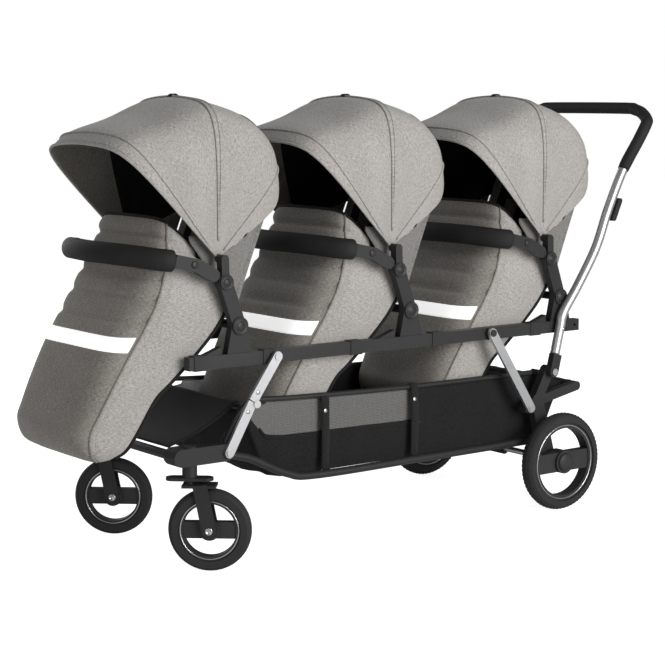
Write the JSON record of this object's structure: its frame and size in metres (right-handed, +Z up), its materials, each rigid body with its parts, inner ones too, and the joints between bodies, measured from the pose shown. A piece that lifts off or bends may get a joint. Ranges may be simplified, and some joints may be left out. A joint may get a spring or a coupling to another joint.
{
  "type": "triple stroller",
  "caption": "Tandem stroller with forward-facing hooded seats in line, padded bumper bars, zip-on footmuffs, an under-seat basket and a folding frame on swivelling front wheels",
  "frame": {"origin": "on the floor under the middle of the overall length and width", "axes": "+X is the way it is pushed, +Y its left side, +Z up"},
  "size_m": [1.7134, 0.6052, 1.061],
  "materials": {
    "frame_black": "satin black powder coat",
    "plastic_black": "fine-grained black moulding",
    "plastic_satin": "satin black moulding",
    "steel": "bright zinc plating",
    "silver": "satin anodised",
    "cloth_black": "black woven polyester",
    "cloth_grey": "grey-beige melange weave",
    "foam": "matt black foam",
    "tyre": "matt black solid tyre",
    "rim": "satin black moulding"
  },
  "bodies": {
    "base": {"lower_frame": "frame_black", "front_crossbar": "frame_black", "front_brackets": "plastic_black", "rear_axle": "steel", "rear_brackets": "plastic_black", "basket_rim": "frame_black", "basket": "cloth_black", "footrest_sling": "cloth_black", "rear_bar": "cloth_black", "base_pins": "steel"},
    "brake": {"brake_pedal": "plastic_black"},
    "rear_left_wheel": {"rear_left_tyre": "tyre", "rear_left_rim": "rim"},
    "rear_right_wheel": {"rear_right_tyre": "tyre", "rear_right_rim": "rim"},
    "front_left_castor": {"front_left_fork": "plastic_black"},
    "front_right_castor": {"front_right_fork": "plastic_black"},
    "front_left_wheel": {"front_left_tyre": "tyre", "front_left_rim": "rim"},
    "front_right_wheel": {"front_right_tyre": "tyre", "front_right_rim": "rim"},
    "left_lock": {"swivel_lock_left": "plastic_black"},
    "right_lock": {"swivel_lock_right": "plastic_black"},
    "struts": {"rear_struts": "silver"},
    "rails": {"rails": "frame_black", "rail_fittings": "plastic_black"},
    "lower_legs": {"front_lower_legs": "silver"},
    "upper_legs": {"front_upper_legs": "silver"},
    "handle": {"handle_tube": "silver", "handle_feet": "plastic_black", "handle_grip": "foam"},
    "levers": {"fold_levers": "plastic_black"},
    "seat_1": {"seat_1_frame": "plastic_black", "seat_1_liner": "cloth_black", "seat_1_footmuff": "cloth_grey", "seat_1_canopy_rear": "cloth_grey"},
    "canopy_1": {"seat_1_canopy_front": "cloth_grey"},
    "bumper_1": {"seat_1_bumper_brackets": "plastic_satin", "seat_1_bumper_grip": "foam"},
    "seat_2": {"seat_2_frame": "plastic_black", "seat_2_liner": "cloth_black", "seat_2_footmuff": "cloth_grey", "seat_2_canopy_rear": "cloth_grey"},
    "canopy_2": {"seat_2_canopy_front": "cloth_grey"},
    "bumper_2": {"seat_2_bumper_brackets": "plastic_satin", "seat_2_bumper_grip": "foam"},
    "seat_3": {"seat_3_frame": "plastic_black", "seat_3_liner": "cloth_black", "seat_3_footmuff": "cloth_grey", "seat_3_canopy_rear": "cloth_grey"},
    "canopy_3": {"seat_3_canopy_front": "cloth_grey"},
    "bumper_3": {"seat_3_bumper_brackets": "plastic_satin", "seat_3_bumper_grip": "foam"}
  },
  "joints": [
    {"name": "handle_fold", "type": "hinge", "parent": "base", "child": "handle", "pos_m": [-0.48721, -0.01064, 0.35701], "axis": [0, 1, 0], "range_deg": [0, 90]},
    {"name": "strut_fold", "type": "hinge", "parent": "base", "child": "struts", "pos_m": [-0.41823, -0.01064, 0.26799], "axis": [0, 1, 0], "range_deg": [0, 26]},
    {"name": "rail_level", "type": "hinge", "parent": "struts", "child": "rails", "pos_m": [-0.28321, -0.01064, 0.47301], "axis": [0, 1, 0], "range_deg": [-26, 0]},
    {"name": "front_lower_fold", "type": "hinge", "parent": "base", "child": "lower_legs", "pos_m": [0.50979, -0.01064, 0.262], "axis": [0, 1, 0], "range_deg": [0, 64.5]},
    {"name": "front_knee_fold", "type": "hinge", "parent": "lower_legs", "child": "upper_legs", "pos_m": [0.43563, -0.01064, 0.3665], "axis": [0, 1, 0], "range_deg": [-117, 0]},
    {"name": "rear_left_spin", "type": "hinge", "parent": "base", "child": "rear_left_wheel", "pos_m": [-0.49323, 0.26136, 0.126], "axis": [0, 1, 0], "continuous": true},
    {"name": "front_left_swivel", "type": "hinge", "parent": "base", "child": "front_left_castor", "pos_m": [0.60177, 0.20536, 0], "axis": [0, 0, 1], "continuous": true},
    {"name": "front_left_spin", "type": "hinge", "parent": "front_left_castor", "child": "front_left_wheel", "pos_m": [0.56729, 0.23429, 0.095], "axis": [0.6428, 0.766, 0], "continuous": true},
    {"name": "left_swivel_lock", "type": "slide", "parent": "base", "child": "left_lock", "axis": [0, 0, -1], "range_m": [0, 0.006]},
    {"name": "rear_right_spin", "type": "hinge", "parent": "base", "child": "rear_right_wheel", "pos_m": [-0.49323, -0.28264, 0.126], "axis": [0, 1, 0], "continuous": true},
    {"name": "front_right_swivel", "type": "hinge", "parent": "base", "child": "front_right_castor", "pos_m": [0.60177, -0.22664, 0], "axis": [0, 0, 1], "continuous": true},
    {"name": "front_right_spin", "type": "hinge", "parent": "front_right_castor", "child": "front_right_wheel", "pos_m": [0.56729, -0.19771, 0.095], "axis": [0.6428, 0.766, 0], "continuous": true},
    {"name": "right_swivel_lock", "type": "slide", "parent": "base", "child": "right_lock", "axis": [0, 0, -1], "range_m": [0, 0.006]},
    {"name": "brake_press", "type": "hinge", "parent": "base", "child": "brake", "pos_m": [-0.49323, -0.01064, 0.126], "axis": [0, 1, 0], "range_deg": [-15, 0]},
    {"name": "lever_pull", "type": "slide", "parent": "handle", "child": "levers", "axis": [-0.44, 0, 0.898], "range_m": [0, 0.012], "stiffness_N_per_m": 150},
    {"name": "seat_1_lift", "type": "slide", "parent": "rails", "child": "seat_1", "axis": [0.6, 0, 0.8], "range_m": [0, 1.401]},
    {"name": "canopy_1_fold", "type": "hinge", "parent": "seat_1", "child": "canopy_1", "pos_m": [0.50672, -0.01064, 0.7], "axis": [0, 1, 0], "range_deg": [-36, 0]},
    {"name": "bumper_1_pull", "type": "slide", "parent": "seat_1", "child": "bumper_1", "axis": [0.985, 0, 0.1726], "range_m": [0, 0.08]},
    {"name": "seat_2_lift", "type": "slide", "parent": "rails", "child": "seat_2", "axis": [0.6, 0, 0.8], "range_m": [0, 1.401]},
    {"name": "canopy_2_fold", "type": "hinge", "parent": "seat_2", "child": "canopy_2", "pos_m": [0.00672, -0.01064, 0.7], "axis": [0, 1, 0], "range_deg": [-36, 0]},
    {"name": "bumper_2_pull", "type": "slide", "parent": "seat_2", "child": "bumper_2", "axis": [0.985, 0, 0.1726], "range_m": [0, 0.08]},
    {"name": "seat_3_lift", "type": "slide", "parent": "rails", "child": "seat_3", "axis": [0.6, 0, 0.8], "range_m": [0, 1.401]},
    {"name": "canopy_3_fold", "type": "hinge", "parent": "seat_3", "child": "canopy_3", "pos_m": [-0.49328, -0.01064, 0.7], "axis": [0, 1, 0], "range_deg": [-36, 0]},
    {"name": "bumper_3_pull", "type": "slide", "parent": "seat_3", "child": "bumper_3", "axis": [0.985, 0, 0.1726], "range_m": [0, 0.08]}
  ],
  "couplings": [
    {"joint": "strut_fold", "follows": "handle_fold", "ratio": 0.28889},
    {"joint": "rail_level", "follows": "handle_fold", "ratio": -0.28889},
    {"joint": "front_lower_fold", "follows": "handle_fold", "ratio": 0.71111},
    {"joint": "front_knee_fold", "follows": "handle_fold", "ratio": -1.2922},
    {"joint": "seat_1_lift", "follows": "handle_fold", "m_per_rad": 0.89127},
    {"joint": "seat_2_lift", "follows": "handle_fold", "m_per_rad": 0.89127},
    {"joint": "seat_3_lift", "follows": "handle_fold", "m_per_rad": 0.89127}
  ]
}
